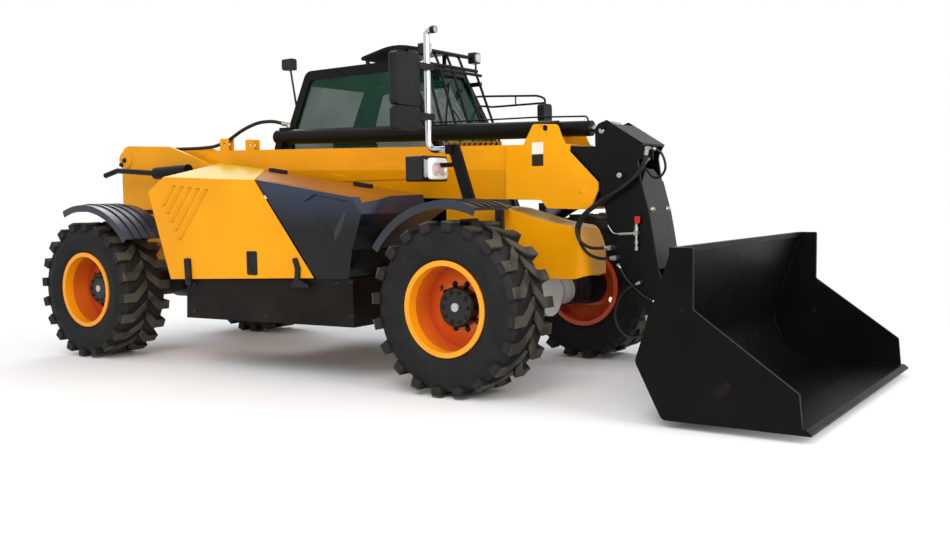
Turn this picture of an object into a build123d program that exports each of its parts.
from build123d import *
import math
import os

# A telehandler with a loading bucket: a side-cab machine with a telescopic boom on its
# centre, four steered wheels, an engine under a hood on the right and a bucket in front.
# Millimetres. +X forward, +Y left (the cab side), +Z up, origin on the ground.

os.makedirs("parts", exist_ok=True)

# ---------------------------------------------------------------- driving dimensions
# wheels and axles
WHEELBASE = 3747
FRONT_AXLE_X = 1060
REAR_AXLE_X = FRONT_AXLE_X - WHEELBASE
TRACK = 1871
TYRE_R = 575
TYRE_W = 452
LUG_PAIRS = 20
LUG_DEPTH = 36
RIM_SEAT_R = 290
RIM_WALL = 10
FLANGE_R = 315
FLANGE_HALF = 200
FLANGE_WALL = 12
HUB_R = 135
HUB_OUT = 64
HUB_IN = 60
SPINDLE_R = 50
KINGPIN_INSET = 150
KINGPIN_R = 25
KNUCKLE_HALF = 90
YOKE_GAP = 6
YOKE_PLATE = 34
AXLE_TUBE_R = 112

# chassis
BOOM_Y = -75
RAIL_HALF = 175
PLATE = 25
TOWER_HALF = 260
RAIL_TOP = 1000
RAIL_LOW = 480
RAIL_OVER_AXLE = 760
TAIL_X = REAR_AXLE_X - 513
RAIL_FRONT_X = 1530
HITCH_X = TAIL_X - 152
HITCH_R = 20
HITCH_END_X = HITCH_X - 70

# boom, in its own frame: u runs along it from the pivot, v at right angles, upward
PIVOT_X = -3130
PIVOT_Z = 1700
BOOM_SLOPE = 1.7
BOOM_HALF = 175
BOOM_TOP = 78
BOOM_DEPTH = 385
BOOM_CREASE = 174
BOOM_FOOT_HALF = 118
BOOM_WALL = 12
BOOM_TAIL = -62
BOOM_END = 4640
BOOM_PLAY = 6
INNER_WALL = 10
PIVOT_R = 45
HEAD_PLATE = 15
STROKE = 2600
KEPT_INSIDE = 1140
INNER_TAIL = BOOM_END - STROKE - KEPT_INSIDE

# extension cylinder on top of the boom
EXT_V = 190
EXT_BARREL_R = 62
EXT_GLAND_R = 54
EXT_ROD_R = 22.5
EXT_U0 = 1685
EXT_U1 = 4718

# gooseneck at the end of the inner boom
NECK_HALF = 176
NECK_PLATE = 19
TILT_X, TILT_Z = 2200, 330
TILT_PIN_R = 30
TILT_BASE_X, TILT_BASE_Z = 1888, 1418
TILT_EYE_X, TILT_EYE_Z = 2068, 142
TILT_BARREL_R = 52
TILT_ROD_R = 25

# lift cylinder under the boom
LIFT_BASE_X, LIFT_BASE_Z = -2250, 860
LIFT_EYE_X, LIFT_EYE_Z = -300, 1215
LIFT_BARREL_R = 75
LIFT_ROD_R = 45
LIFT_PIN_R = 30

# bucket
BUCKET_RIGHT = -1250
BUCKET_LEFT = 1100
BUCKET_PLATE = 16
BUCKET_SIDE = 22

# body work
BODY_SIDE = 1096
COVER_SIDE = 1085
BODY_INNER = 350
PANEL_GAP = 8
HOOD_PIN_Y = -338
HOOD_PIN_Z = 1542
HOOD_HINGES = (-1750, -1380)
SKIN = 6
BEARER_TOP = 790
BOX_REAR = (-1461, 690)
BOX_SLOPE = 0.0322
CAB_FLOOR = 860
CAB_RIGHT = 150
CAB_LEFT = 1050
CAB_WALL = 45
GLASS = 6
DOOR_GAP = 6

# fits
RUN = 0.05
SEAT_GAP = 0.3


# ---------------------------------------------------------------- drawing helpers
def outline(points):
    """A closed face from corners (a, b) or (a, b, radius), each radius a tangent arc."""
    count = len(points)
    starts, ends, edges = [], [], []
    for i, corner in enumerate(points):
        here = Vector(corner[0], corner[1])
        if len(corner) == 2:
            starts.append(here)
            ends.append(here)
            continue
        back = (Vector(*points[i - 1][:2]) - here).normalized()
        on = (Vector(*points[(i + 1) % count][:2]) - here).normalized()
        half_turn = math.radians(back.get_angle(on)) / 2
        reach = corner[2] / math.tan(half_turn)
        depth = corner[2] / math.sin(half_turn) - corner[2]
        starts.append(here + back * reach)
        ends.append(here + on * reach)
        middle = here + (back + on).normalized() * depth
        edges.append(ThreePointArc(starts[i], middle, ends[i]))
    for i in range(count):
        start, end = ends[i], starts[(i + 1) % count]
        if (end - start).length > 1e-6:
            edges.append(Line(start, end))
    return make_face(Wire(edges))


def side_plate(points, y_mid, thick):
    """A flat plate whose outline is drawn in the side view (x, z)."""
    plane = Plane((0, y_mid + thick / 2, 0), x_dir=(1, 0, 0), z_dir=(0, -1, 0))
    return extrude(plane * outline(points), amount=thick, dir=(0, -1, 0))


def side_block(points, y0, y1):
    """A solid whose outline is drawn in the side view, from y0 to y1."""
    return side_plate(points, (y0 + y1) / 2, y1 - y0)


def cross_block(points, x0, x1):
    """A solid whose outline is drawn in the front view (y, z), from x0 to x1."""
    plane = Plane((x0, 0, 0), x_dir=(0, 1, 0), z_dir=(1, 0, 0))
    return extrude(plane * outline(points), amount=x1 - x0, dir=(1, 0, 0))


def box(x0, x1, y0, y1, z0, z1):
    return Pos((x0 + x1) / 2, (y0 + y1) / 2, (z0 + z1) / 2) * Box(x1 - x0, y1 - y0, z1 - z0)


def bar(start, end, radius):
    """A round bar from one point to another."""
    run = Vector(*end) - Vector(*start)
    plane = Plane(start, z_dir=run)
    return plane * Cylinder(radius, run.length, align=(Align.CENTER, Align.CENTER, Align.MIN))


def cross_pin(x, z, y0, y1, radius):
    """A round bar across the machine."""
    return bar((x, y0, z), (x, y1, z), radius)


def bent_tube(points, radii, radius):
    """A round tube along straight runs joined by tangent arcs."""
    path = FilletPolyline(*points, radius=radii)
    start = Plane(path @ 0, z_dir=path % 0)
    return sweep(start * Circle(radius), path=path)


def hose(points, radius):
    """A round hose through points, each bend as wide as the runs beside it allow."""
    spots = [Vector(*point) for point in points]
    bends = []
    for before, here, after in zip(spots, spots[1:], spots[2:]):
        back, on = here - before, after - here
        half_turn = math.radians(back.get_angle(on)) / 2
        bends.append(0.45 * min(back.length, on.length) / math.tan(half_turn))
    tube = bent_tube(points, bends, radius)
    length = FilletPolyline(*points, radius=bends).length
    share = tube.volume / (math.pi * radius**2 * length)
    print(f"hose radius {radius}: length {length:.0f}, volume {share:.3f}, bends {[round(b) for b in bends]}")
    return tube


def both_sides(shape):
    return [shape, mirror(shape, about=Plane.XZ)]


def on_boom(shape):
    """Place what is drawn in the boom's own frame (u, y from its middle, v)."""
    return Location((PIVOT_X, BOOM_Y, PIVOT_Z), (0, BOOM_SLOPE, 0)) * shape


def save(name, *solids):
    """Write one named piece; several solids that don't touch may share a name."""
    solid_list = [s for item in solids for s in item.solids()]
    whole = Compound(children=solid_list) if len(solid_list) > 1 else solid_list[0]
    export_step(whole, f"parts/{name}.step")


# ---------------------------------------------------------------- wheels
def tyre(direction):
    """A block-lug tyre about the Y axis at the origin; outboard is +Y."""
    half = TYRE_W / 2
    tread = TYRE_R - LUG_DEPTH
    bead = FLANGE_HALF - FLANGE_WALL - SEAT_GAP
    section = [
        (RIM_SEAT_R + SEAT_GAP, -bead),
        (FLANGE_R + SEAT_GAP, -bead),
        (RIM_SEAT_R + 60, -half + 16),
        (TYRE_R - 145, -half + 2),
        (tread - 30, -half + 14),
        (tread, -half + 60),
        (tread, half - 60),
        (tread - 30, half - 14),
        (TYRE_R - 145, half - 2),
        (RIM_SEAT_R + 60, half - 16),
        (FLANGE_R + SEAT_GAP, bead),
        (RIM_SEAT_R + SEAT_GAP, bead),
    ]
    carcass = revolve(make_face(Polyline(*section, close=True)), axis=Axis.Y)
    pitch = 2 * math.pi * TYRE_R / LUG_PAIRS
    width = 0.40 * pitch
    lean = 0.58 * pitch
    # the lug's plan: a slanted inner bar that turns straight at the shoulder
    start, end = -(width + lean) / 2, (width + lean) / 2
    plan = [
        (start, 6), (start + width, 6), (end, 0.5 * half), (end, half), (end - width, half),
        (end - width, 0.58 * half),
    ]
    top = math.sqrt(TYRE_R**2 - end**2)
    foot = tread - 40
    plane = Plane((foot, 0, 0), x_dir=(0, 0, direction), z_dir=(1, 0, 0))
    face = plane * make_face(Polyline(*plan, close=True))
    lug = extrude(face, amount=top - foot, dir=(1, 0, 0))
    other = mirror(lug, about=Plane.XZ)
    lugs = []
    for i in range(LUG_PAIRS):
        turn = 360 * i / LUG_PAIRS
        lugs.append(Rot(0, turn, 0) * lug)
        lugs.append(Rot(0, turn + 180 / LUG_PAIRS, 0) * other)
    return carcass + lugs


def rim():
    """A deep-dished rim with its planetary hub; outboard is +Y."""
    inner = RIM_SEAT_R - RIM_WALL
    section = [
        (RIM_SEAT_R, -FLANGE_HALF + FLANGE_WALL), (FLANGE_R, -FLANGE_HALF + FLANGE_WALL), (FLANGE_R, -FLANGE_HALF),
        (inner, -FLANGE_HALF), (inner, -55), (170, -22), (HUB_R, -22), (HUB_R, -HUB_IN),
        (SPINDLE_R, -HUB_IN), (SPINDLE_R, 20), (0, 20), (0, HUB_OUT + 10), (29, HUB_OUT + 10),
        (29, HUB_OUT), (HUB_R - 12, HUB_OUT), (HUB_R, HUB_OUT - 12), (HUB_R, -8), (172, -8),
        (inner, -40), (inner, FLANGE_HALF), (FLANGE_R, FLANGE_HALF), (FLANGE_R, FLANGE_HALF - FLANGE_WALL),
        (RIM_SEAT_R, FLANGE_HALF - FLANGE_WALL),
    ]
    disc = revolve(make_face(Polyline(*section, close=True)), axis=Axis.Y)
    for turn in (35, 215):
        hole = Rot(0, turn, 0) * bar((205, -80, 0), (205, 40, 0), 22)
        disc -= hole
    return disc


def knuckle():
    """The steered knuckle, about the kingpin at y = -KINGPIN_INSET; outboard is +Y."""
    inset = -KINGPIN_INSET
    flange_y = -HUB_IN - 6
    body = Pos(0, inset, 0) * Cylinder(62, 2 * KNUCKLE_HALF)
    body += box(-58, 58, inset, flange_y - 20, -58, 58)
    body += bar((0, flange_y - 22, 0), (0, flange_y, 0), 150)
    body += bar((0, flange_y - 2, 0), (0, 18, 0), SPINDLE_R - RUN)
    pin = KNUCKLE_HALF + YOKE_GAP + YOKE_PLATE
    body += Pos(0, inset, 0) * Cylinder(KINGPIN_R - RUN, 2 * pin)
    arm = [(-40, inset - 26), (-205, inset - 22, 20), (-205, inset + 22, 20), (-40, inset + 26)]
    body += Pos(0, 0, -30) * extrude(outline(arm), amount=-30)
    return body


def axle_end():
    """The yoke that holds one knuckle, with its axle tube inward; kingpin on the Z axis."""
    ear_z = KNUCKLE_HALF + YOKE_GAP
    ear = [(-52, -100), (-52, 0), (52, 0), (52, -100)]
    top = Pos(0, 0, ear_z) * extrude(outline(ear), amount=YOKE_PLATE)
    top += Pos(0, 0, ear_z) * Cylinder(52, YOKE_PLATE, align=(Align.CENTER, Align.CENTER, Align.MIN))
    low = mirror(top, about=Plane.XY)
    back = box(-75, 75, -120, -78, -ear_z - YOKE_PLATE, ear_z + YOKE_PLATE)
    yoke = top + low + back
    return yoke - Cylinder(KINGPIN_R, 400)


def axle(x):
    """An axle beam with its differential housing, yokes and seats under the rails."""
    kingpin_y = TRACK / 2 - KINGPIN_INSET
    tube_end = kingpin_y - 110
    beam = bar((x, -tube_end, TYRE_R), (x, tube_end, TYRE_R), AXLE_TUBE_R)
    beam += bar((x - 150, 0, TYRE_R), (x + 150, 0, TYRE_R), 155)
    for y in (-tube_end + 60, -tube_end + 170, tube_end - 170, tube_end - 60):
        beam += bar((x, y - 14, TYRE_R), (x, y + 14, TYRE_R), AXLE_TUBE_R + 12)
    for y in (BOOM_Y - RAIL_HALF + 45, BOOM_Y + RAIL_HALF - 45):
        beam += box(x - 95, x + 95, y - 35, y + 35, TYRE_R, RAIL_OVER_AXLE)
    left = Pos(x, kingpin_y, TYRE_R) * axle_end()
    for end in both_sides(left):
        beam += end
    return beam


# ---------------------------------------------------------------- chassis
def chassis_frame():
    """Two rails with a belly plate, and the tower plates that carry the boom's pivot."""
    dip_r, dip_f = REAR_AXLE_X + 430, FRONT_AXLE_X - 500
    rail = [
        (TAIL_X + 30, RAIL_OVER_AXLE), (dip_r, RAIL_OVER_AXLE), (dip_r + 150, RAIL_LOW),
        (dip_f - 150, RAIL_LOW), (dip_f, RAIL_OVER_AXLE), (RAIL_FRONT_X, RAIL_OVER_AXLE),
        (RAIL_FRONT_X, RAIL_TOP - 60), (RAIL_FRONT_X - 120, RAIL_TOP), (TAIL_X + 30, RAIL_TOP),
    ]
    tower = [
        (TAIL_X, RAIL_OVER_AXLE - 60), (TAIL_X + 10, PIVOT_Z + 135, 110), (-2505, 1798, 200),
        (-1914, 1600, 40), (-1860, 1250), (-1860, RAIL_TOP - 100), (-2250, RAIL_OVER_AXLE),
        (-2400, RAIL_OVER_AXLE), (-2400, RAIL_TOP - 60), (-2960, RAIL_TOP - 60),
        (-2960, RAIL_OVER_AXLE - 60),
    ]
    frame = None
    for side in (-1, 1):
        plate = side_plate(rail, BOOM_Y + side * (RAIL_HALF - PLATE / 2), PLATE)
        plate += side_plate(tower, BOOM_Y + side * (TOWER_HALF - PLATE / 2), PLATE)
        frame = plate if frame is None else frame + plate
    inner = RAIL_HALF - PLATE
    y0, y1 = BOOM_Y - inner, BOOM_Y + inner
    t0, t1 = BOOM_Y - TOWER_HALF + PLATE, BOOM_Y + TOWER_HALF - PLATE
    frame += box(dip_r + 140, dip_f - 140, y0, y1, RAIL_LOW, RAIL_LOW + PLATE)
    frame += box(TAIL_X + 30, dip_r, y0, y1, RAIL_OVER_AXLE, RAIL_OVER_AXLE + PLATE)
    frame += box(dip_f, RAIL_FRONT_X, y0, y1, RAIL_OVER_AXLE, RAIL_OVER_AXLE + PLATE)
    frame += box(RAIL_FRONT_X - PLATE, RAIL_FRONT_X, y0, y1, RAIL_OVER_AXLE, RAIL_TOP - 60)
    frame += box(TAIL_X, TAIL_X + PLATE + 10, t0, t1, RAIL_OVER_AXLE - 60, 1300)
    for side in (-1, 1):
        edge = BOOM_Y + side * RAIL_HALF
        out = BOOM_Y + side * (TOWER_HALF - PLATE)
        lo, hi = min(edge, out), max(edge, out)
        for x in (-2920, -2300, -1905):
            frame += box(x - 15, x + 15, lo, hi, RAIL_OVER_AXLE + 20, RAIL_TOP - 65)
    # bearers: under the engine on the right, under the cab on the left
    for x in (-1570, -900, -300):
        frame += box(x - 40, x + 40, -980, BOOM_Y - RAIL_HALF, BEARER_TOP - 40, BEARER_TOP)
    for x in (-1350, -550, 200):
        frame += box(x - 40, x + 40, BOOM_Y + RAIL_HALF, CAB_LEFT - 120, CAB_FLOOR - 80, CAB_FLOOR)
    # the rail and post that carry the hood's hinges
    frame += box(-1900, -1250, -330, -304, 1480, 1520)
    frame += box(-1290, -1250, -330, -304, BEARER_TOP - 40, 1520)
    frame += box(-1290, -1250, -330, BOOM_Y - RAIL_HALF, BEARER_TOP - 40, BEARER_TOP)
    for x in HOOD_HINGES:
        frame += box(x - 32, x - 8, -352, -304, 1500, HOOD_PIN_Z + 14)
        frame += bar((x - 32, HOOD_PIN_Y, HOOD_PIN_Z), (x + 30, HOOD_PIN_Y, HOOD_PIN_Z), 9)
    frame += cross_pin(LIFT_BASE_X, LIFT_BASE_Z, y0, y1, LIFT_PIN_R)
    for side in (-1, 1):
        boss = BOOM_Y + side * inner
        lo, hi = min(boss, boss - side * 55), max(boss, boss - side * 55)
        frame += bar((LIFT_BASE_X, lo, LIFT_BASE_Z), (LIFT_BASE_X, hi, LIFT_BASE_Z), 70)
        # pivot bosses on the tower
        out = BOOM_Y + side * TOWER_HALF
        lo, hi = min(out, out + side * 14), max(out, out + side * 14)
        frame += bar((PIVOT_X, lo, PIVOT_Z), (PIVOT_X, hi, PIVOT_Z), 80)
    reach = TOWER_HALF + 14
    frame += cross_pin(PIVOT_X, PIVOT_Z, BOOM_Y - reach, BOOM_Y + reach, PIVOT_R)
    return frame


def tow_hitch():
    """A rear clevis with a vertical pin hole, bolted on the rear plate."""
    y0, y1 = BOOM_Y - 70, BOOM_Y + 70
    hitch = box(TAIL_X - 25, TAIL_X, BOOM_Y - 130, BOOM_Y + 130, 720, 960)
    jaw = [(TAIL_X - 25, y0), (HITCH_END_X, y0, 55), (HITCH_END_X, y1, 55), (TAIL_X - 25, y1)]
    for z in (760, 890):
        hitch += Pos(0, 0, z) * extrude(outline(jaw), amount=30)
    return hitch - bar((HITCH_X, BOOM_Y, 700), (HITCH_X, BOOM_Y, 980), HITCH_R)


NOSE_CORNER = 90


def nose_plan(front, half, corner):
    """The nose's outline seen from above, as a tall block with rounded front corners."""
    plan = [
        (400, BOOM_Y - half), (front, BOOM_Y - half, corner), (front, BOOM_Y + half, corner), (400, BOOM_Y + half),
    ]
    return Pos(0, 0, 600) * extrude(outline(plan), amount=700)


def front_nose():
    """The fairing over the front of the frame: curved top, open below."""
    half = RAIL_HALF + SEAT_GAP + SKIN
    shape = [
        (470, 1232), (950, 1216, 600), (1310, 1112, 300), (1530, 1075, 80), (1622, 900, 60),
        (1628, 744), (1540, 717), (1230, 717), (1000, 860), (470, 900),
    ]
    hollow = [
        (460, 1226), (949, 1210, 600), (1308, 1106, 300), (1526, 1070, 74), (1616, 898, 54),
        (1622, 700), (460, 700),
    ]
    inner = half - SKIN
    nose = side_block(shape, BOOM_Y - half, BOOM_Y + half) & nose_plan(1630, half, NOSE_CORNER)
    return nose - (side_block(hollow, BOOM_Y - inner, BOOM_Y + inner) & nose_plan(1624, inner, NOSE_CORNER - SKIN))


def engine_block():
    """The engine, as one plain block on its two bearers, clear of the hood's rear wall."""
    return box(HOOD_LOW[0][0] + 3 * PANEL_GAP, -820, -930, -400, BEARER_TOP, 1310)


def side_box():
    """The low black box under the hood and the cover, on the right."""
    shape = [(-1478, 392), (253, 406), (247, box_top(247)), BOX_REAR]
    return side_block(shape, -COVER_SIDE + 12, BOOM_Y - RAIL_HALF)


def left_tank():
    """The tank under the cab with two steps, on the left."""
    shape = [(-1478, 420, 40), (253, 420, 40), (253, 740, 40), (-1478, 740, 40)]
    tank = side_block(shape, BOOM_Y + RAIL_HALF, CAB_LEFT - 60)
    tank -= box(-1100, -500, CAB_LEFT - 260, CAB_LEFT, 400, 760)
    for z in (420, 590):
        tank += box(-1100, -500, CAB_LEFT - 260, CAB_LEFT - 40, z, z + 24)
    return tank


def shift_edges(points, inward):
    """Move each edge of a clockwise (x, z) outline inward by its own amount."""
    count = len(points)
    lines = []
    for i, amount in enumerate(inward):
        start, end = Vector(*points[i]), Vector(*points[(i + 1) % count])
        along = (end - start).normalized()
        normal = Vector(along.Y, -along.X)
        lines.append((start + normal * amount, along))
    moved = []
    for i in range(count):
        (p, d), (q, e) = lines[i - 1], lines[i]
        t = ((q.X - p.X) * e.Y - (q.Y - p.Y) * e.X) / (d.X * e.Y - d.Y * e.X)
        moved.append((p.X + d.X * t, p.Y + d.Y * t))
    return moved


def side_section(points, y):
    """A face drawn in the side view, standing at y."""
    return Plane((0, y, 0), x_dir=(1, 0, 0), z_dir=(0, -1, 0)) * outline(points)


def box_top(x):
    """Height of the right-hand side box's sloping top."""
    return BOX_REAR[1] + BOX_SLOPE * (x - BOX_REAR[0])


# The hood's and the cover's outlines at their outer side and at their inner edge,
# clockwise from the lower rear corner.
HOOD_LOW = [(-1625, box_top(-1625) + PANEL_GAP), (-95, box_top(-95) + PANEL_GAP)]
HOOD_OUT = [HOOD_LOW[0], (-1863, 1385), (-1673, 1498), (-658, 1449), HOOD_LOW[1]]
HOOD_IN = [HOOD_LOW[0], (-1850, 1440), (-1840, 1628), (-1300, 1560), HOOD_LOW[1]]


def beside_hood(y):
    """The cover's rear edge at y: from the side box's top up along the hood's front edge."""
    share = (-y - BODY_INNER) / (BODY_SIDE - BODY_INNER)
    foot = Vector(*HOOD_LOW[1])
    top = Vector(*HOOD_IN[3]) + (Vector(*HOOD_OUT[3]) - Vector(*HOOD_IN[3])) * share
    lean = (top.X - foot.X) / (top.Y - foot.Y)
    x = foot.X + 2 * PANEL_GAP
    low_z = (box_top(x) - BOX_SLOPE * lean * foot.Y) / (1 - BOX_SLOPE * lean)
    return [(x + lean * (low_z - foot.Y), low_z), (top.X + 2 * PANEL_GAP, top.Y)]


COVER_ARCH = [(352, 1190), (262, 945), (225, box_top(225))]
COVER_OUT = [*beside_hood(-COVER_SIDE), (267, 1307), *COVER_ARCH]
COVER_IN = [*beside_hood(-BODY_INNER), (330, 1318), *COVER_ARCH]


def shell_between(outer, inner, side, walls):
    """A ruled shell from the outer side outline to the inner one; walls as edge amounts."""
    form = loft([side_section(outer, -side), side_section(inner, -BODY_INNER)], ruled=True)
    hollow = loft(
        [
            side_section(shift_edges(outer, walls), -side + SKIN),
            side_section(shift_edges(inner, walls), -BODY_INNER + 1),
        ],
        ruled=True,
    )
    return form - hollow


# louvres: slanted slots whose feet follow the hood's rear edge, each with a vane behind
LOUVRES = 5
LOUVRE_WIDE = 58
LOUVRE_DEEP = 30
LOUVRE_TOP, LOUVRE_TOP_STEP = (-1582, 1429), (92.5, -9.3)
LOUVRE_FOOT, LOUVRE_FOOT_STEP = (-1717, 1273), (44.8, -66.3)


def slanted_bar(plan, foot, top):
    """A bar with horizontal ends: a plan (x from the foot, y) pushed from foot to top (x, z)."""
    rise = Vector(top[0] - foot[0], 0, top[1] - foot[1])
    return extrude(Pos(foot[0], 0, foot[1]) * outline(plan), amount=rise.length, dir=rise)


def louvre(number):
    """One slot as a cutter, and the vane from its rear edge inward to its front edge."""
    foot, top = (
        (start[0] + number * step[0], start[1] + number * step[1])
        for start, step in ((LOUVRE_FOOT, LOUVRE_FOOT_STEP), (LOUVRE_TOP, LOUVRE_TOP_STEP))
    )
    skin, thick = -BODY_SIDE, SKIN / 2
    slot = [(0, skin - 5), (LOUVRE_WIDE, skin - 5), (LOUVRE_WIDE, skin + 2 * SKIN), (0, skin + 2 * SKIN)]
    vane = [
        (-5, skin + 1), (1, skin + 1), (LOUVRE_WIDE + 5, skin + LOUVRE_DEEP),
        (LOUVRE_WIDE + 5, skin + LOUVRE_DEEP + thick), (-5, skin + 1 + thick),
    ]
    return slanted_bar(slot, foot, top), slanted_bar(vane, foot, top)


def engine_hood():
    """The side hood, hinged along its inner top edge, with its row of stamped louvres."""
    hood = shell_between(HOOD_OUT, HOOD_IN, BODY_SIDE, (SKIN, SKIN, SKIN, -40, -40))
    for number in range(LOUVRES):
        slot, vane = louvre(number)
        hood = hood - slot + vane
    for x in HOOD_HINGES:
        top = 1628 - (x + 1840) * 68 / 540
        hood += box(x, x + 22, -400, HOOD_PIN_Y + 14, HOOD_PIN_Z - 14, top - 3)
        hood -= bar((x - 5, HOOD_PIN_Y, HOOD_PIN_Z), (x + 40, HOOD_PIN_Y, HOOD_PIN_Z), 9 + RUN)
    return hood


def cover_shell():
    return shell_between(COVER_OUT, COVER_IN, COVER_SIDE, (-40, SKIN, SKIN, SKIN, SKIN, -40))


DECK_EDGE = -1010


# the cover's stamped pocket: its rim, how far each wall slopes in, and its depth
POCKET = [(-193, 1280), (-76, 1337), (236, 1283), (174, 1096), (103, 1000)]
POCKET_WALLS = (12, 12, 12, 60, 35)
POCKET_DEEP = 20
BAND_PROUD = 3


def pocket_form(grow, y0, y1):
    """The pocket's hollow from its rim at y0 to its floor at y1, grown all round."""
    rim_line = shift_edges(POCKET, [-grow] * len(POCKET))
    floor_line = shift_edges(POCKET, [wall - grow for wall in POCKET_WALLS])
    return loft([side_section(rim_line, y0), side_section(floor_line, y1)], ruled=True)


def side_cover():
    """The glossy cover between hood and wheel arch, with its pocket and rear band."""
    cover = cover_shell() - box(-1400, 300, DECK_EDGE, 0, 1200, 1700)
    face = -COVER_SIDE
    cover += pocket_form(SKIN, face + 1, face + POCKET_DEEP + SKIN)
    cover -= pocket_form(0, face, face + POCKET_DEEP)
    low, top = beside_hood(face)
    band = [low, top, (-415, 1217), (-46, 764)]
    return cover + side_block(band, face - BAND_PROUD, face + 1)


def deck_z(x, y):
    """Height of the deck, which is ruled from the cover's inner top edge to its outer one."""
    share = (-y - BODY_INNER) / (COVER_SIDE - BODY_INNER)
    edges = zip(COVER_IN[1:3], COVER_OUT[1:3])
    rear, front = (Vector(*inner) + (Vector(*outer) - Vector(*inner)) * share for inner, outer in edges)
    return rear.Y + (front.Y - rear.Y) * (x - rear.X) / (front.X - rear.X)


def deck_handles():
    """The two grips on the deck beside the boom."""
    grips = []
    for x0, x1 in ((-1109, -939), (-220, -57)):
        z0, z1 = (max(deck_z(x, -500), deck_z(x, -460)) + 2 * SEAT_GAP for x in (x0, x1))
        grip = side_block([(x0, z0), (x0, z0 + 30, 8), (x1, z1 + 30, 8), (x1, z1)], -500, -460)
        grips.append(grip)
    return grips


def hood_latches():
    """The hood's two draw latches and its lock plate, on the hood's side."""
    seat_y = -BODY_SIDE - SEAT_GAP
    rear = side_block([(-1432, 654, 12), (-1440, 861, 12), (-1378, 861, 12), (-1370, 654, 12)], seat_y - 20, seat_y)
    rear += bar((-1401, seat_y - 27, 700), (-1401, seat_y - 1, 700), 15)
    front = [(-304, 672, 8), (-264, 734), (-256, 808), (-283, 880, 10), (-245, 884, 10), (-214, 808), (-222, 728), (-130, 690, 10), (-130, 672, 8)]
    lock = side_block([(-757, 749, 14), (-757, 925, 14), (-652, 925, 14), (-652, 749, 14)], seat_y - 6, seat_y)
    lock -= side_block([(-742, 815, 8), (-742, 910, 8), (-667, 910, 8), (-667, 815, 8)], seat_y - 7, seat_y - 3)
    lock += bar((-710, seat_y - 10, 782), (-710, seat_y - 1, 782), 14)
    return [rear, side_block(front, seat_y - 18, seat_y), lock]


def deck_panel():
    """The sloping deck from the cover's upper edge to the boom."""
    return cover_shell() & box(-1400, 300, DECK_EDGE, 0, 1200, 1700)


def muffler():
    """The silencer beside the tower, its tail pipe and its two saddles."""
    y = -470
    body = bar((-2540, y, 1560), (-2110, y, 1575), 52)
    pipe = bent_tube([(-2530, y, 1560), (-3080, y, 1600), (-3246, y - 10, 1560)], [60], 24)
    body += pipe
    for x in (-2440, -2200):
        body += box(x - 15, x + 15, y - 30, BOOM_Y - TOWER_HALF - SEAT_GAP, 1500, 1530)
    return body


# ---------------------------------------------------------------- mudguards
# centre x, arc from and to (degrees from +X), inner radius of the skin
GUARDS = [(FRONT_AXLE_X, 68, 146, 690), (REAR_AXLE_X, 37, 112, 708)]
GUARD_OUT = 1135
GUARD_IN = 705
GUARD_SKIN = 8
GUARD_LIP = 46


def mudguard(x, low, high, radius):
    """A ribbed arc over one tyre on the right, its outer lip and its stay."""
    def arc_band(r0, r1, y0, y1):
        start, end = math.radians(low), math.radians(high)
        mid = (start + end) / 2
        at = [(math.cos(a), math.sin(a)) for a in (start, mid, end)]
        rims = [[(x + r * c, TYRE_R + r * s) for c, s in at] for r in (r0, r1)]
        edges = [
            ThreePointArc(*rims[0]), Line(rims[0][2], rims[1][2]),
            ThreePointArc(*rims[1]), Line(rims[1][0], rims[0][0]),
        ]
        plane = Plane((0, y1, 0), x_dir=(1, 0, 0), z_dir=(0, -1, 0))
        return extrude(plane * make_face(Wire(edges)), amount=y1 - y0, dir=(0, -1, 0))

    skin = arc_band(radius, radius + GUARD_SKIN, -GUARD_OUT, -GUARD_IN)
    skin += arc_band(radius - GUARD_LIP, radius + GUARD_SKIN, -GUARD_OUT, -GUARD_OUT + 8)
    for y in (-1040, -960, -880, -800):
        skin += arc_band(radius, radius + GUARD_SKIN + 10, y - 12, y + 12)
    return skin


def mudguards():
    """Four guards, each with the stay that carries it from the frame or the tower."""
    guards = []
    arm_low, arm_high = 1200, 1240
    for side in (-1, 1):
        rail = BOOM_Y + side * RAIL_HALF
        tower = BOOM_Y + side * TOWER_HALF
        for front, (x, low, high, radius) in enumerate(GUARDS[::-1]):
            guard = mudguard(x, low, high, radius)
            if side > 0:
                guard = mirror(guard, about=Plane.XZ)
            x0, x1 = (x - 120, x - 20) if front else (x - 60, x + 60)
            under = TYRE_R + math.sqrt(radius**2 - 60**2) + 3
            inner, outer = side * (GUARD_IN - 5), side * (GUARD_IN + 25)
            start = side * 290 if front else tower
            guard += box(x0, x1, min(start, outer), max(start, outer), arm_low, arm_high)
            guard += box(x0, x1, min(inner, outer), max(inner, outer), arm_low, under)
            if front:
                end = side * 322
                guard += box(x0, x1 - 40, min(start, end), max(start, end), 775, arm_high)
                guard += box(x0, x1 - 40, min(rail, end), max(rail, end), 775, 845)
            guards.append(guard)
    return guards


# ---------------------------------------------------------------- lamps and mirrors
STAND_X = FRONT_AXLE_X - 120
STAND_Y = 686
POLE_X = 640
POLE_R = 22.5
POLE_TOP = 2443


def lamp_stands():
    """A leaning bracket on each front mudguard stay."""
    lean = [(STAND_X, 1240), (STAND_X + 90, 1240), (892, 1650), (805, 1650)]
    stand = side_plate(lean, -STAND_Y, 28)
    stand += box(800, 850, -STAND_Y - 32, -STAND_Y + 32, 1588, 1652)
    stand += box(700, 870, -STAND_Y - 12, -STAND_Y + 12, 1500, 1530)
    return both_sides(stand)


def mirror_pole():
    """The bright pole of the right mirrors, bent at its foot and at its top."""
    y = -STAND_Y
    path = [
        (800 - SEAT_GAP, y, 1622), (POLE_X, y, 1622), (POLE_X, y, POLE_TOP), (POLE_X + 75, y, POLE_TOP),
    ]
    return bent_tube(path, [60, 34], POLE_R)


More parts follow.
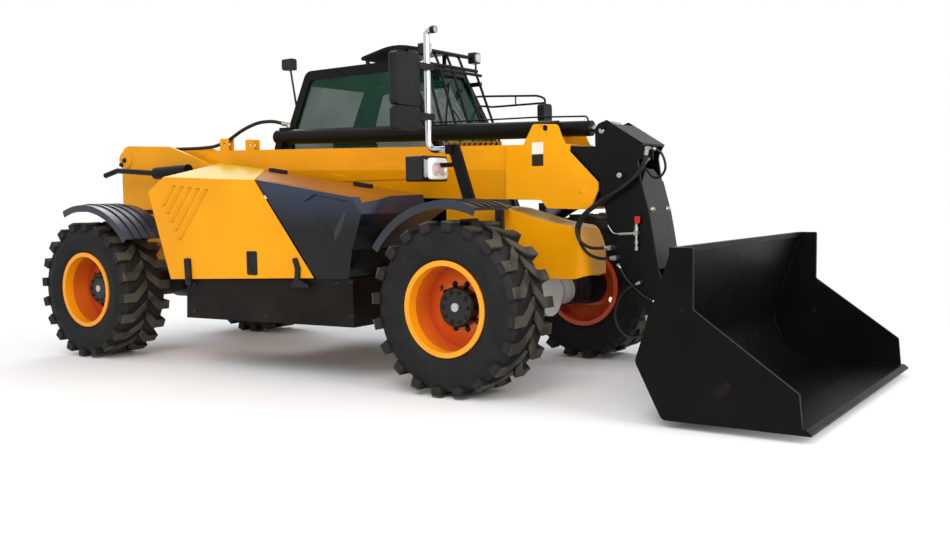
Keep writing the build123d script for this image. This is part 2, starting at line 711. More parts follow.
def mirror_head(y0, y1, z0, z1):
    head = box(POLE_X - 40, POLE_X + 30, y0, y1, z0, z1)
    head = fillet(head.edges().filter_by(Axis.X), 30)
    return fillet(head.faces().sort_by(Axis.X)[0].edges(), 14)


def mirrors():
    """Two heads on the right pole, one on the left frame."""
    heads = []
    for z0, z1, clamp in ((1913, 2265, 2190), (1751, 1907, 1850)):
        head = mirror_head(-1070, -815, z0, z1)
        arm = box(POLE_X - 30, POLE_X + 34, -820, -STAND_Y + 34, clamp - 22, clamp + 22)
        arm -= bar((POLE_X, -STAND_Y, clamp - 60), (POLE_X, -STAND_Y, clamp + 60), POLE_R + RUN)
        heads.append(head + arm)
    heads.append(Pos(-POLE_X + 490, 0, 0) * mirror_head(1110, 1250, 1925, 2075))
    return heads


def mirror_frame():
    """The thin tube frame that carries the left mirror from the cab's front post."""
    radius = 9
    post = CAB_SIDE[3:5]
    stand_off = (radius + SEAT_GAP) / 0.88
    loop = [
        (outline_x(post, 2170) + stand_off, 1040, 2170), (-60, 1175, 2180), (430, 1180, 2150), (492, 1180, 2120), (492, 1180, 2075),
    ]
    frame = bent_tube(loop, [30, 200, 30], radius)
    frame += bar((outline_x(post, 2085) + stand_off, 1040, 2085), (-40, 1175, 2085), radius)
    frame += bar((-40, 1178, 2085), (490, 1180, 2085), radius)
    frame += bar((200, 1179, 2085), (200, 1178, 2164), 6)
    return frame


def lamp_box(x0, x1, y0, y1, z0, z1):
    lamp = box(x0, x1, y0, y1, z0, z1)
    return fillet(lamp.edges().filter_by(Axis.X), 16)


def lamps():
    """Two headlamps on their stands, two work lamps on the guard, one at the rear."""
    group = both_sides(lamp_box(560, 700, -850, -560, 1405, 1580))
    for y, foot_y in ((245, 245), (955, 925)):
        lamp = lamp_box(-105, -45, y - 50, y + 50, 2440, 2535)
        stalk = bar((-40, foot_y, GUARD_BAR_Z + 15 + SEAT_GAP), (-40, foot_y, 2450), 9)
        group.append(lamp + stalk + bar((-40, foot_y, 2446), (-75, y, 2462), 9))
    rear = lamp_box(-1575, -1485, 160, 250, 2440, 2540)
    rear += bar((-1520, 205, 2450), (-1455, 205, 2085), 9)
    rear += box(-1465, outline_x(CAB_SIDE[1:3], 2075) - SEAT_GAP, 195, 215, 2075, 2095)
    group.append(rear)
    return group


# ---------------------------------------------------------------- cab
# the cab's side outline, clockwise from its lower rear corner, with corner radii
CAB_SIDE = [
    (-1500, CAB_FLOOR), (-1560, 1831), (-1284, 2405), (-250, 2412), (80, 1800), (330, 1150), (330, CAB_FLOOR),
]
CAB_ROUND = (20, 60, 90, 70, 60, 60, 40)
DOOR_SIDE = [(-1330, 905), (-1330, 2000), (-1215, 2330), (-330, 2340), (-20, 1780), (-20, 905)]
DOOR_PIN = (-1345, CAB_LEFT + 20)
LEAF_GAP = 5
DOOR_HINGES = (1100, 1700)
FRONT_OPENING = [(-300, 2335), (-60, 2335), (520, 1200), (250, 1200), (-10, 1790)]
REAR_OPENING = [(-1750, 1480), (-1750, 2290), (-1235, 2290), (-1455, 1835), (-1430, 1480)]
GUARD_BAR_Z = 2372


def roof_z(x):
    """Height of the cab's roof at x."""
    (x0, z0), (x1, z1) = CAB_SIDE[2:4]
    return z0 + (z1 - z0) * (x - x0) / (x1 - x0) + 0.2


def outline_x(edge, z):
    """The x of one straight edge of the cab's side outline at height z."""
    (x0, z0), (x1, z1) = edge
    return x0 + (x1 - x0) * (z - z0) / (z1 - z0)


def rounded(points, radii, less=0):
    return [(x, z, max(r - less, 3)) for (x, z), r in zip(points, radii)]


def cab_form(inset):
    """The cab's outer form, or the one that lies inset inside it."""
    shape = rounded(shift_edges(CAB_SIDE, [inset] * len(CAB_SIDE)), CAB_ROUND, inset)
    return side_block(shape, CAB_RIGHT + inset, CAB_LEFT - inset)


def cab_openings():
    """The cutters for the windscreen, the rear window and the right side window."""
    border = (75, 75, 75, 75, 75, 75, 480)
    side = rounded(shift_edges(CAB_SIDE, border), CAB_ROUND, 10)
    return [
        side_block(FRONT_OPENING, CAB_RIGHT + 70, CAB_LEFT - 70),
        side_block(REAR_OPENING, CAB_RIGHT + 70, CAB_LEFT - 70),
        side_block(side, CAB_RIGHT - 20, CAB_RIGHT + CAB_WALL + 10),
    ]


def cab_shell():
    """Pillars, roof, floor and lower panels, with the window and door openings cut."""
    shell = cab_form(0) - cab_form(CAB_WALL)
    for opening in cab_openings():
        shell -= opening
    shell -= side_block(DOOR_SIDE, CAB_LEFT - CAB_WALL - 10, CAB_LEFT + 10)
    for z in DOOR_HINGES:
        x, y = DOOR_PIN
        shell += box(x - 50, x, CAB_LEFT - 1, CAB_LEFT + 6, z, z + 60)
        shell += bar((x, y, z), (x, y, z + 60), 14)
        shell += box(x - 14, x, CAB_LEFT - 1, y, z, z + 60)
        shell += bar((x, y, z), (x, y, z + 115), 7)
    return shell


def cab_glass():
    """The fixed panes, each filling its opening."""
    layer = cab_form(18) - cab_form(18 + GLASS)
    return [layer & opening for opening in cab_openings()]


def door_outline(inset):
    return shift_edges(DOOR_SIDE, [inset] * len(DOOR_SIDE))


DOOR_RAIL = 62


def cab_door():
    """The door's frame with its window cut, and its two hinge leaves."""
    door = side_block(door_outline(DOOR_GAP), CAB_LEFT - CAB_WALL, CAB_LEFT)
    window = rounded(door_outline(DOOR_GAP + DOOR_RAIL), (30, 30, 40, 40, 40, 30))
    door -= side_block(window, CAB_LEFT - CAB_WALL - 5, CAB_LEFT + 5)
    door += box(-1324, -26, CAB_LEFT - CAB_WALL + 10, CAB_LEFT - 10, 911, 1250)
    for z in DOOR_HINGES:
        x, y = DOOR_PIN
        z0, z1 = z + 61, z + 115
        door += box(x + 25, x + 90, CAB_LEFT - 1, CAB_LEFT + LEAF_GAP, z0, z1)
        door += box(x, x + 90, CAB_LEFT + LEAF_GAP, CAB_LEFT + 2 * LEAF_GAP, z0, z1)
        door += box(x, x + 14, CAB_LEFT + LEAF_GAP, y, z0, z1)
        door += bar((x, y, z0), (x, y, z1), 14)
        door -= bar((x, y, z0 - 0.5), (x, y, z1 + 5), 7 + RUN)
    handle = box(-180, -60, CAB_LEFT + 24, CAB_LEFT + 36, 1290, 1314)
    for x in (-175, -77):
        handle += box(x, x + 12, CAB_LEFT - 2, CAB_LEFT + 30, 1290, 1314)
    return door + handle


def door_glass():
    """The door's pane above its lower panel."""
    window = rounded(door_outline(DOOR_GAP + DOOR_RAIL), (30, 30, 40, 40, 40, 30))
    pane = side_block(window, CAB_LEFT - 24, CAB_LEFT - 18)
    return pane & box(-2000, 500, 0, 2000, 1250, 2600)


def roof_guard():
    """The arched roof plate on its posts, and the bar guard in front of the windscreen."""
    over = [(-790, 2496, 20), (-430, 2575, 700), (-60, 2500, 20), (-64, 2470, 10), (-430, 2545, 700), (-786, 2466, 10)]
    guard = side_block(over, 300, 900)
    for x, top in ((-740, 2491), (-330, 2538)):
        for y in (330, 870):
            guard += bar((x, y, roof_z(x) + SEAT_GAP), (x, y, top), 18)
    guard += bar((-40, 190, GUARD_BAR_Z), (-40, 940, GUARD_BAR_Z), 15)
    for y in (390, 560, 730):
        guard += bent_tube([(-180, y, 2500), (-90, y, 2490), (-40, y, GUARD_BAR_Z + 5)], [60], 11)
    guard += bar((-28, 190, GUARD_BAR_Z - 34), (-28, 985, GUARD_BAR_Z - 34), 13)
    strut_z = GUARD_BAR_Z - 130
    guard += box(outline_x(CAB_SIDE[3:5], strut_z) + SEAT_GAP, 8, 912, 946, strut_z, strut_z + 34)
    foot_x, foot_z = 190, 1600
    guard += bar((foot_x, 180, foot_z), (foot_x, 1040, foot_z), 15)
    for i in range(5):
        top_y, foot_y = 215 + 175 * i, 205 + 205 * i
        guard += bar((-40, top_y, GUARD_BAR_Z), (foot_x, foot_y, foot_z), 11)
    for y in (190, 1030):
        guard += box(outline_x(CAB_SIDE[4:6], foot_z - 10) + SEAT_GAP, foot_x, y - 8, y + 8, foot_z - 10, foot_z + 10)
    return guard


def seat():
    """The seat's base, cushion and back."""
    floor = CAB_FLOOR + CAB_WALL
    base = box(-1150, -750, 400, 800, floor, floor + 260)
    pad = [(-1180, floor + 260), (-1180, floor + 340), (-1060, floor + 390, 40), (-680, floor + 400, 50), (-680, floor + 260)]
    back = [(-1160, floor + 300), (-1290, floor + 1000, 50), (-1190, floor + 1010, 50), (-1050, floor + 370)]
    return base + side_block(pad, 360, 840) + side_block(back, 380, 820)


def steering_column():
    """The column, its dash and the steering wheel."""
    floor = CAB_FLOOR + CAB_WALL
    dash = [(-60, floor), (-60, floor + 420, 60), (50, floor + 500, 50), (190, floor + 320), (190, floor)]
    column = side_block(dash, 400, 800)
    foot, top = (-40, 600, floor + 380), (-330, 600, floor + 700)
    column += bar(foot, top, 24)
    plane = Plane(top, z_dir=Vector(*top) - Vector(*foot))
    column += plane * Torus(185, 14)
    column += plane * Cylinder(45, 24)
    for turn in (0, 120, 240):
        column += plane * (Rot(0, 0, turn) * Pos(92, 0, 0) * Box(184, 26, 12))
    return column


# ---------------------------------------------------------------- boom
BOOM_SECTION = [
    (-BOOM_HALF, BOOM_TOP - BOOM_CREASE), (-BOOM_HALF, BOOM_TOP), (BOOM_HALF, BOOM_TOP),
    (BOOM_HALF, BOOM_TOP - BOOM_CREASE), (BOOM_FOOT_HALF, BOOM_TOP - BOOM_DEPTH),
    (-BOOM_FOOT_HALF, BOOM_TOP - BOOM_DEPTH),
]


def boom_prism(inset, u0, u1):
    """The boom's six-sided section, inset by a wall, from u0 to u1 in the boom's frame."""
    section = shift_edges(BOOM_SECTION, [inset] * 6)
    return cross_block(section, u0, u1)


HEAD = [
    (4138, -303), (4138, 77), (4280, 77), (4356, 219, 30), (4547, 214, 30), (4588, 118), (4650, 22),
    (4866, -180), (4868, -234), (4810, -366), (4476, -362), (4427, -307),
]
TRUNNION_U = 4450


TRUNNION_R = 20
TRUNNION_REACH = BOOM_HALF + HEAD_PLATE - 8
DOUBLER = [
    (-690, 1440), (-668, 1502), (-507, 1472), (-268, 1545, 400), (-14, 1556, 300), (182, 1518, 60), (230, 1440),
]


def doubler():
    """The plate that wraps the boom's sides over the lift cylinder's lugs."""
    outline_uv = [(*boom_uv(*corner[:2]), *corner[2:]) for corner in DOUBLER]
    u0, u1 = outline_uv[0][0] - 5, outline_uv[-1][0] + 5
    sleeve = boom_prism(-6, u0, u1) - boom_prism(BOOM_WALL / 2, u0 - 5, u1 + 5)
    return sleeve & side_block(outline_uv, -BOOM_HALF - 20, BOOM_HALF + 20)


def boom_outer():
    """The outer boom: a hollow six-sided box with pivot boss, head plates and lift lugs."""
    boom = boom_prism(0, BOOM_TAIL, BOOM_END) - boom_prism(BOOM_WALL, 260, BOOM_END + 10)
    reach = TOWER_HALF - PLATE - 1
    boom += cross_pin(0, 0, -reach, reach, 75)
    boom -= cross_pin(0, 0, -reach - 5, reach + 5, PIVOT_R + RUN)
    for side in (-1, 1):
        boom += side_plate(HEAD, side * (BOOM_HALF + HEAD_PLATE / 2), HEAD_PLATE)
    low = BOOM_TOP - BOOM_DEPTH
    boom += box(4480, 4806, -BOOM_HALF, BOOM_HALF, low - 56, low - 40)
    for side in (-1, 1):
        lo, hi = sorted((side * (BOOM_FOOT_HALF - 40), side * BOOM_HALF))
        boom += box(4480, 4500, lo, hi, low - 56, low + 8)
    boom -= cross_pin(TRUNNION_U, EXT_V, -300, 300, TRUNNION_R + RUN)
    for side in (-1, 1):
        lo, hi = sorted((side * TRUNNION_REACH, side * (BOOM_HALF + HEAD_PLATE + 1)))
        boom -= box(TRUNNION_U - 44, TRUNNION_U + 22, lo, hi, EXT_V - 52, EXT_V + 16)
    # two pairs of drilled ears, the rear one around the tail hose
    for u, tall in ((1178, 102), (1493, 88)):
        ear = [(u, BOOM_TOP - 1), (u, BOOM_TOP + tall, 14), (u + 104, BOOM_TOP + tall, 14), (u + 104, BOOM_TOP - 1)]
        for y in (-BOOM_HALF + 5, -BOOM_HALF + 63):
            boom += side_plate(ear, y, 10)
        boom -= cross_pin(u + 52, BOOM_TOP + tall - 46, -BOOM_HALF - 5, -BOOM_HALF + 80, 12)
    boom += doubler()
    # lugs of the lift cylinder under the boom, with the heads of its pin
    u, v = boom_uv(LIFT_EYE_X, LIFT_EYE_Z)
    lug = [(u - 70, v - 20, 40), (u - 130, low + 1), (u + 130, low + 1), (u + 70, v - 20, 40), (u, v - 75, 60)]
    for side in (-1, 1):
        boom += side_plate(lug, side * 62, 24)
        lo, hi = sorted((side * 70, side * 86))
        boom += cross_pin(u, v, lo, hi, 44)
    return boom


def boom_uv(x, z):
    """World (x, z) in the boom's own frame."""
    a = math.radians(BOOM_SLOPE)
    dx, dz = x - PIVOT_X, z - PIVOT_Z
    return dx * math.cos(a) - dz * math.sin(a), dx * math.sin(a) + dz * math.cos(a)


def boom_world(u, v):
    """A place in the boom's own frame as world (x, z)."""
    a = math.radians(BOOM_SLOPE)
    return PIVOT_X + u * math.cos(a) + v * math.sin(a), PIVOT_Z - u * math.sin(a) + v * math.cos(a)


# the gooseneck's side outline, clockwise from its lower rear corner; its upper rear edge
# runs beside the boom head's slanted front edge
NECK_FRONT = [(2031, 1378), (2088, 1165), (2111, 1038), (2150, 800)]
NECK = [
    (2128, 330), (2040, 575, 120), (1841, 833, 60), (1814, 1014), (1775, 1188), (1765, 1238), (1740, 1242),
    (1740, 1384), (1524, 1604), (1704, 1607), (1704, 1733), (1729, 1765), (1789, 1786), (2052, 1621, 6),
    (2040, 1600), (2008, 1540, 60), *NECK_FRONT, (2235, 560, 120), (2272, 330),
]
NECK_TOP = [(1832, 1759), (2052, 1621), (2044, 1608), (1824, 1746)]
COVER_TOP_Z = 1462
BRACKET = 12
BRACKET_X1 = 2126
NECK_BASE_U = 4920
EYE_U = 4891


def inner_boom():
    """The inner boom: a hollow six-sided box with wear pads at its tail."""
    gap = BOOM_WALL + BOOM_PLAY
    tube = boom_prism(gap, INNER_TAIL, NECK_BASE_U) - boom_prism(gap + INNER_WALL, INNER_TAIL - 10, NECK_BASE_U + 10)
    # wear pads at the tail, a sliding fit in the outer boom
    for side in (-1, 1):
        lo, hi = sorted((side * (BOOM_HALF - gap - 1), side * (BOOM_HALF - BOOM_WALL - 0.5)))
        for v in (-70, 20):
            tube += box(INNER_TAIL + 20, INNER_TAIL + 140, lo, hi, v, v + 40)
    return on_boom(tube)


def gooseneck():
    """The plates welded on the inner boom's sides, their pins, pivot tube and cross plates."""
    inner = NECK_HALF - NECK_PLATE
    y0, y1 = BOOM_Y - inner, BOOM_Y + inner
    rear = [(1775, 1190), (1790, 1190), (1856, 836), (1841, 836)]
    neck = side_block(rear, y0, y1) + side_block(NECK_TOP, y0, y1)
    for side in (-1, 1):
        neck += side_plate(NECK, BOOM_Y + side * (NECK_HALF - NECK_PLATE / 2), NECK_PLATE)
    neck += cross_pin(TILT_X, TILT_Z, BOOM_Y - NECK_HALF, BOOM_Y + NECK_HALF, 66)
    neck -= cross_pin(TILT_X, TILT_Z, BOOM_Y - 400, BOOM_Y + 400, TILT_PIN_R + RUN)
    reach = NECK_HALF + 12
    neck += cross_pin(TILT_BASE_X, TILT_BASE_Z, BOOM_Y - reach, BOOM_Y + reach, TILT_PIN_R)
    eye_x, eye_z = boom_world(EYE_U, EXT_V)
    neck += cross_pin(eye_x, eye_z, BOOM_Y - reach, BOOM_Y + reach, 22)
    # the bracket of the hose fittings at the right plate's front edge
    face = BOOM_Y - NECK_HALF
    neck += box(1985, BRACKET_X1, face - BRACKET, face + 1, 1515, 1605)
    return neck


def head_cover():
    """The plate over the gooseneck's front, with a tongue that rises between its plates."""
    (x0, z0), (x1, z1) = NECK_FRONT[:2]
    tongue = (x0 + (x1 - x0) * (COVER_TOP_Z - z0) / (z1 - z0), COVER_TOP_Z)
    rear_line = [tongue, *NECK_FRONT[1:]]
    front = shift_edges([*rear_line, (1500, 800), (1500, COVER_TOP_Z)], [-8, -8, -8, 0, 0, 0])[:4]
    plate = side_block([*rear_line[::-1], *front], BOOM_Y - NECK_HALF, BOOM_Y + NECK_HALF)
    half, inner = NECK_HALF, NECK_HALF - NECK_PLATE - 1
    right = [(-60, COVER_TOP_Z - 6, 30), (-inner, z0 - 1), (-half, z0 - 1), (-half, 700)]
    left = [(-y, *rest) for y, *rest in right[::-1]]
    seen = [(BOOM_Y + y, *rest) for y, *rest in right + left]
    return plate & cross_block(seen, 1900, 2300)


# hoses on the gooseneck's right side, from the fittings down to the tilt cylinder's ports
NECK_HOSE_R = 11
NECK_HOSES = [
    [
        (2100, -313, 1540), (2076, -314, 1443), (1952, -316, 1343), (1755, -315, 1243), (1634, -314, 1158),
        (1582, -315, 1070), (1606, -314, 982), (1690, -314, 934), (1800, -313, 937),
    ],
    [
        (2070, -283, 1484), (2006, -284, 1402), (1848, -285, 1283), (1662, -284, 1180), (1592, -284, 1088),
        (1592, -285, 975), (1660, -284, 890), (1750, -284, 862), (1826, -283, 868),
    ],
]
FRONT_LOOP_R = 8
FRONT_LOOP = [
    (2146, -257, 1575), (2177, -252, 1560), (2198, -240, 1510), (2200, -224, 1450), (2158, -206, 1398),
    (2096, -195, 1392), (2040, -190, 1460), (1985, -192, 1490),
]
LOW_HOSE_R = 7
LOW_HOSES = [
    [(1888, -264, 800), (1926, -265, 738), (1985, -264, 678), (2055, -265, 622), (2120, -264, 592)],
    [
        (2010, -282, 700), (1950, -282, 672), (1893, -281, 618), (1858, -280, 548), (1852, -280, 476),
        (1872, -280, 408), (1918, -281, 357), (1980, -280, 338), (2040, -280, 360), (2074, -280, 414),
        (2080, -280, 464),
    ],
]
VALVE_X, VALVE_Z = 2010, 1034


def neck_hoses():
    """The hoses that ride on the gooseneck, each held at both ends."""
    tubes = [hose(points, NECK_HOSE_R) for points in NECK_HOSES]
    tubes.append(hose(FRONT_LOOP, FRONT_LOOP_R))
    return tubes + [hose(points, LOW_HOSE_R) for points in LOW_HOSES]


def stub(end, beyond, length, radius):
    """A fitting that carries a hose's end on, along the run from beyond to end."""
    tip = Vector(*end)
    way = (tip - Vector(*beyond)).normalized()
    start = tip + way * SEAT_GAP
    return bar(tuple(start), tuple(start + way * length), radius), tuple(start + way * length)


def neck_fittings():
    """Elbows at the hoses' ends, the stop valve and its steel line, on the right plate."""
    face, inner = BOOM_Y - NECK_HALF - SEAT_GAP, NECK_HALF - NECK_PLATE
    bracket = face - BRACKET
    pieces = []
    for points in NECK_HOSES:
        elbow, (x, y, z) = stub(points[0], points[1], 44, 14)
        pieces.append(elbow + bar((x, y - 13, z), (x, bracket, z), 12))
        end, (x, y, z) = stub(points[-1], points[-2], 34, 14)
        pieces.append(end + bar((x, y - 13, z), (x, face, z), 16))
    for points in LOW_HOSES:
        for tip, beyond in ((points[0], points[1]), (points[-1], points[-2])):
            end, (x, y, z) = stub(tip, beyond, 26, 9)
            pieces.append(end + bar((x, y - 8, z), (x, face, z), 10))
    end, (x, y, z) = stub(FRONT_LOOP[0], FRONT_LOOP[1], 13, 11)
    pieces.append(end + bar((BRACKET_X1 + SEAT_GAP, y, z), (x + 4, y, z), 9))
    end, (x, y, z) = stub(FRONT_LOOP[-1], FRONT_LOOP[-2], 28, 11)
    pieces.append(end + bar((x, BOOM_Y - inner + SEAT_GAP, z), (x, y + 12, z), 12))
    line_y = face - 22
    valve = bar((VALVE_X, line_y - 12, VALVE_Z), (VALVE_X, face, VALVE_Z), 17)
    valve += bar((VALVE_X, line_y, VALVE_Z - 112), (VALVE_X, line_y, VALVE_Z + 60), 9)
    for z0, z1, radius in ((-112, -88, 14), (-70, -48, 14), (16, 46, 15)):
        valve += bar((VALVE_X, line_y, VALVE_Z + z0), (VALVE_X, line_y, VALVE_Z + z1), radius)
    valve += bar((VALVE_X, line_y, VALVE_Z), (VALVE_X - 124, line_y, VALVE_Z - 6), 10)
    line = [(VALVE_X - 120, line_y, VALVE_Z - 6), (VALVE_X - 170, line_y, VALVE_Z), (VALVE_X - 206, line_y, VALVE_Z + 52)]
    pieces.append(valve + bent_tube(line, [45], 5))
    return pieces


def valve_handle():
    """The stop valve's lever."""
    z = VALVE_Z + 60 + SEAT_GAP
    lever = [(VALVE_X - 8, z), (VALVE_X - 10, z + 52, 8), (VALVE_X + 28, z + 52, 8), (VALVE_X + 26, z + 8), (VALVE_X + 10, z)]
    return side_plate(lever, BOOM_Y - NECK_HALF - SEAT_GAP - 22, 10)


# ---------------------------------------------------------------- cylinders
def ram(length, barrel_r, rod_r, pin_r, barrel_end, piston, width):
    """A barrel and its rod along +X, the base pin at the origin and the rod eye at length."""
    bore = barrel_r - 9
    wide = width / 2
    eye = pin_r + 28
    barrel = bar((eye - 12, 0, 0), (barrel_end, 0, 0), barrel_r)
    barrel += cross_pin(0, 0, -wide, wide, eye)
    barrel -= cross_pin(0, 0, -wide - 5, wide + 5, pin_r + RUN)
    barrel -= bar((eye + 30, 0, 0), (barrel_end - 70, 0, 0), bore)
    barrel -= bar((eye + 30, 0, 0), (barrel_end + 5, 0, 0), rod_r + RUN)
    barrel += bar((barrel_end - 40, 0, 0), (barrel_end - 12, 0, 0), barrel_r + 8) - bar((eye, 0, 0), (barrel_end, 0, 0), barrel_r - 2)
    rod = bar((piston, 0, 0), (length - eye + 8, 0, 0), rod_r)
    rod += bar((piston, 0, 0), (piston + 55, 0, 0), bore - RUN)
    rod += cross_pin(length, 0, -wide, wide, eye)
    rod += cross_pin(length, 0, -wide - 3, wide + 3, pin_r)
    return barrel, rod


def between(start, end):
    """The placing that turns a ram from +X to run from start to end, both (x, z)."""
    angle = math.degrees(math.atan2(end[1] - start[1], end[0] - start[0]))
    return Location((start[0], BOOM_Y, start[1]), (0, -angle, 0))


def lift_ram():
    start, end = (LIFT_BASE_X, LIFT_BASE_Z), (LIFT_EYE_X, LIFT_EYE_Z)
    pair = ram(math.dist(start, end), LIFT_BARREL_R, LIFT_ROD_R, LIFT_PIN_R, 1720, 130, 92)
    return [between(start, end) * piece for piece in pair]


def tilt_ram():
    start, end = (TILT_BASE_X, TILT_BASE_Z), (TILT_EYE_X, TILT_EYE_Z)
    pair = ram(math.dist(start, end), TILT_BARREL_R, TILT_ROD_R, TILT_PIN_R, 800, 480, 64)
    return [between(start, end) * piece for piece in pair]


def extension_ram():
    """The long cylinder on the boom's top and its rod, which pushes the gooseneck."""
    bore = EXT_GLAND_R - 8
    barrel = bar((EXT_U0, 0, EXT_V), (TRUNNION_U, 0, EXT_V), EXT_BARREL_R)
    barrel = fillet(barrel.edges().sort_by(Axis.X)[0], 34)
    barrel += bar((TRUNNION_U, 0, EXT_V), (EXT_U1, 0, EXT_V), EXT_GLAND_R)
    barrel += box(TRUNNION_U - 45, TRUNNION_U + 45, -EXT_BARREL_R - 4, EXT_BARREL_R + 4, EXT_V - 40, EXT_V + 40)
    barrel += cross_pin(TRUNNION_U, EXT_V, -TRUNNION_REACH, TRUNNION_REACH, TRUNNION_R)
    barrel -= bar((EXT_U0 + 40, 0, EXT_V), (EXT_U1 - 70, 0, EXT_V), bore)
    barrel -= bar((EXT_U0 + 40, 0, EXT_V), (EXT_U1 + 5, 0, EXT_V), EXT_ROD_R + RUN)
    # rear saddle, the port block on top and the steel line to the front gland
    seat_v = BOOM_TOP + SEAT_GAP
    saddle = [(EXT_U0 + 20, seat_v), (EXT_U0 + 45, EXT_V - 30), (EXT_U0 + 115, EXT_V - 30), (EXT_U0 + 90, seat_v)]
    barrel += side_block(saddle, -45, 45) - bar((EXT_U0, 0, EXT_V), (TRUNNION_U, 0, EXT_V), EXT_BARREL_R - 5)
    barrel += box(EXT_U0 + 60, EXT_U0 + 190, -24, 24, EXT_V + EXT_BARREL_R - 8, EXT_V + EXT_BARREL_R + 16)
    side, over = -25, EXT_V + EXT_BARREL_R + 12
    line = [
        (3330, side, EXT_V + 50), (3330, side, over), (4300, side, over + 14), (EXT_U1 - 30, side, over + 8),
        (EXT_U1 - 12, side, EXT_V + EXT_GLAND_R - 12),
    ]
    barrel += bent_tube(line, [14, 4000, 24], 6)
    rod = bar((EXT_U0 + 60, 0, EXT_V), (EYE_U - 30, 0, EXT_V), EXT_ROD_R)
    rod += bar((EXT_U0 + 60, 0, EXT_V), (EXT_U0 + 120, 0, EXT_V), bore - RUN)
    rod += cross_pin(EYE_U, EXT_V, -45, 45, 40)
    rod -= cross_pin(EYE_U, EXT_V, -60, 60, 22 + RUN)
    return on_boom(barrel), on_boom(rod)


# the hose from the boom's foot to the extension cylinder's port, in the boom's frame
TAIL_HOSE_R = 15
TAIL_HOSE = [
    (235, -141, 101), (560, -143, 99), (880, -141, 103), (1080, -143, 114), (1242, -141, 160),
    (1398, -110, 258), (1545, -66, 318), (1672, -26, 326), (1762, -2, 306),
]


def tail_hose():
    return on_boom(hose(TAIL_HOSE, TAIL_HOSE_R))


def boom_fittings():
    """The clamp block at the tail hose's start, and the elbow on the cylinder's port."""
    u, y, v = TAIL_HOSE[0]
    start = box(u - 60, u - SEAT_GAP, y - 20, y + 20, BOOM_TOP + SEAT_GAP, v + 20)
    elbow, (u, y, v) = stub(TAIL_HOSE[-1], TAIL_HOSE[-2], 60, 20)
    elbow += bar((u, y, EXT_V + EXT_BARREL_R + 16 + SEAT_GAP), (u, y, v + 10), 19)
    return on_boom(start), on_boom(elbow)


# ---------------------------------------------------------------- carriage and bucket
CARRIAGE_IN = NECK_HALF + 6
CARRIAGE_PLATE = 22
HOOK = (2520, 790, 38)
LATCH = (2400, 240, 32)


def carriage():
    """The tool carriage: side plates, two cross tubes and the lever of the tilt cylinder."""
    plate = [
        (2126, 330), (2150, 400, 40), (2460, 850, 50), (2565, 850, 50), (2540, 700, 200), (2440, 400, 100),
        (2455, 190, 40), (2200, 256, 60), (2140, 262, 30),
    ]
    frame = None
    for side in (-1, 1):
        cheek = side_plate(plate, BOOM_Y + side * (CARRIAGE_IN + CARRIAGE_PLATE / 2), CARRIAGE_PLATE)
        frame = cheek if frame is None else frame + cheek
    reach = CARRIAGE_IN + CARRIAGE_PLATE + 44
    for x, z, radius in (HOOK, LATCH):
        frame += cross_pin(x, z, BOOM_Y - reach, BOOM_Y + reach, radius)
    frame += cross_pin(TILT_X, TILT_Z, BOOM_Y - reach + 34, BOOM_Y + reach - 34, TILT_PIN_R)
    lever = [
        (TILT_EYE_X - 50, 142, 30), (TILT_EYE_X - 30, 205, 30), (2150, 228, 60), (2250, 228, 60), (2330, 280, 40),
        (2420, 280, 30), (2425, 190, 30), (2250, 110, 60), (TILT_EYE_X - 30, 90, 30),
    ]
    for side in (-1, 1):
        frame += side_plate(lever, BOOM_Y + side * 52, 24)
        lo, hi = sorted((BOOM_Y + side * 60, BOOM_Y + side * 76))
        frame += cross_pin(TILT_EYE_X, TILT_EYE_Z, lo, hi, 36)
    return frame


BUCKET_BACK = [(2610, 45), (2450, 360), (2675, 995)]
BUCKET_LIP = (3422, 52)


def bucket():
    """A welded loading bucket: bent shell, side plates, cutting edge and rear brackets."""
    t = BUCKET_PLATE
    shell = [
        (2610, 45, 40), (2450, 360, 50), (2662, 962), (2658, 996), (2700, 996), (2700, 962), (2680, 962),
        (2474, 362, 190), (2626, 45 + t, 240), (3400, 50 + t), (3400, 50),
    ]
    body = side_block(shell, BUCKET_RIGHT, BUCKET_LEFT)
    lip = [(3160, 44), (3160, 76), (3395, 76), (BUCKET_LIP[0], BUCKET_LIP[1] + 4), (BUCKET_LIP[0], 44)]
    body += side_block(lip, BUCKET_RIGHT, BUCKET_LEFT)
    side = [
        (2610, 45, 40), (2450, 360, 50), (2675, 995), (2795, 995, 12), (2792, 662, 20), (3360, 255, 20), (3378, 46),
    ]
    for y in (BUCKET_RIGHT + BUCKET_SIDE / 2, BUCKET_LEFT - BUCKET_SIDE / 2):
        body += side_plate(side, y, BUCKET_SIDE)
    ear = [(2462, 730, 20), (2462, 850, 40), (2560, 890, 40), (2652, 900), (2470, 390), (2470, 330), (2545, 180), (2360, 180, 40), (2345, 290, 40), (2440, 420), (2500, 660)]
    ear_y = CARRIAGE_IN + CARRIAGE_PLATE + 6
    for side_sign in (-1, 1):
        body += side_plate(ear, BOOM_Y + side_sign * (ear_y + 11), 22)
    for x, z, radius in (HOOK, LATCH):
        body -= cross_pin(x, z, BOOM_Y - 300, BOOM_Y + 300, radius + SEAT_GAP)
    return body


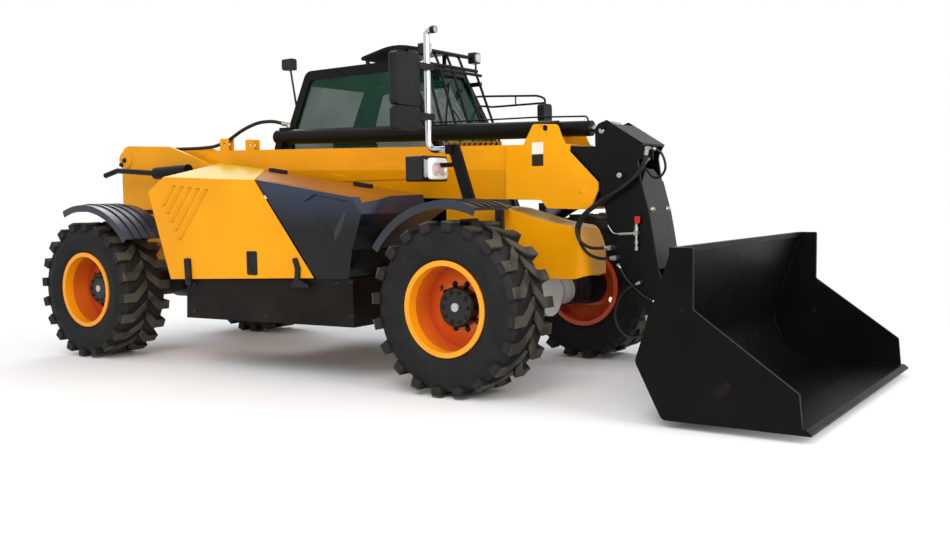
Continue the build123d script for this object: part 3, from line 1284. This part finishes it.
# ---------------------------------------------------------------- write every piece
def main():
    kingpin_y = TRACK / 2 - KINGPIN_INSET
    wheel_places = (
        ("front_left", FRONT_AXLE_X, 1), ("front_right", FRONT_AXLE_X, -1),
        ("rear_left", REAR_AXLE_X, 1), ("rear_right", REAR_AXLE_X, -1),
    )
    tyres = {side: tyre(side) for side in (1, -1)}
    wheel, hub = rim(), knuckle()
    for name, x, side in wheel_places:
        place = Pos(x, TRACK / 2, TYRE_R)
        pieces = ((f"tyre_{name}", tyres[side]), (f"rim_{name}", wheel), (f"knuckle_{name}", hub))
        for piece, shape in pieces:
            shape = place * shape
            save(piece, shape if side > 0 else mirror(shape, about=Plane.XZ))
    save("front_axle", axle(FRONT_AXLE_X))
    save("rear_axle", axle(REAR_AXLE_X))
    save("chassis_frame", chassis_frame())
    save("tow_hitch", tow_hitch())
    save("front_nose", front_nose())
    save("engine_block", engine_block())
    save("side_box", side_box())
    save("left_tank", left_tank())
    save("engine_hood", engine_hood())
    save("side_cover", side_cover())
    save("deck_panel", deck_panel())
    save("deck_handles", *deck_handles())
    save("hood_latches", *hood_latches())
    save("muffler", muffler())
    save("mudguards", *mudguards())
    save("lamp_stands", *lamp_stands())
    save("mirror_pole", mirror_pole())
    save("mirrors", *mirrors())
    save("mirror_frame", mirror_frame())
    save("lamps", *lamps())
    save("cab_shell", cab_shell())
    save("cab_glass", *cab_glass())
    save("cab_door", cab_door())
    save("door_glass", door_glass())
    save("roof_guard", roof_guard())
    save("seat", seat())
    save("steering_column", steering_column())
    save("boom_outer", on_boom(boom_outer()))
    save("inner_boom", inner_boom())
    save("tail_hose", tail_hose())
    save("boom_fittings", *boom_fittings())
    save("gooseneck", gooseneck())
    save("neck_hoses", *neck_hoses())
    save("neck_fittings", *neck_fittings())
    save("valve_handle", valve_handle())
    save("head_cover", head_cover())
    barrel, rod = extension_ram()
    save("extension_barrel", barrel)
    save("extension_rod", rod)
    for name, pair in (("lift", lift_ram()), ("tilt", tilt_ram())):
        save(f"{name}_barrel", pair[0])
        save(f"{name}_rod", pair[1])
    save("carriage", carriage())
    save("bucket", bucket())


main()
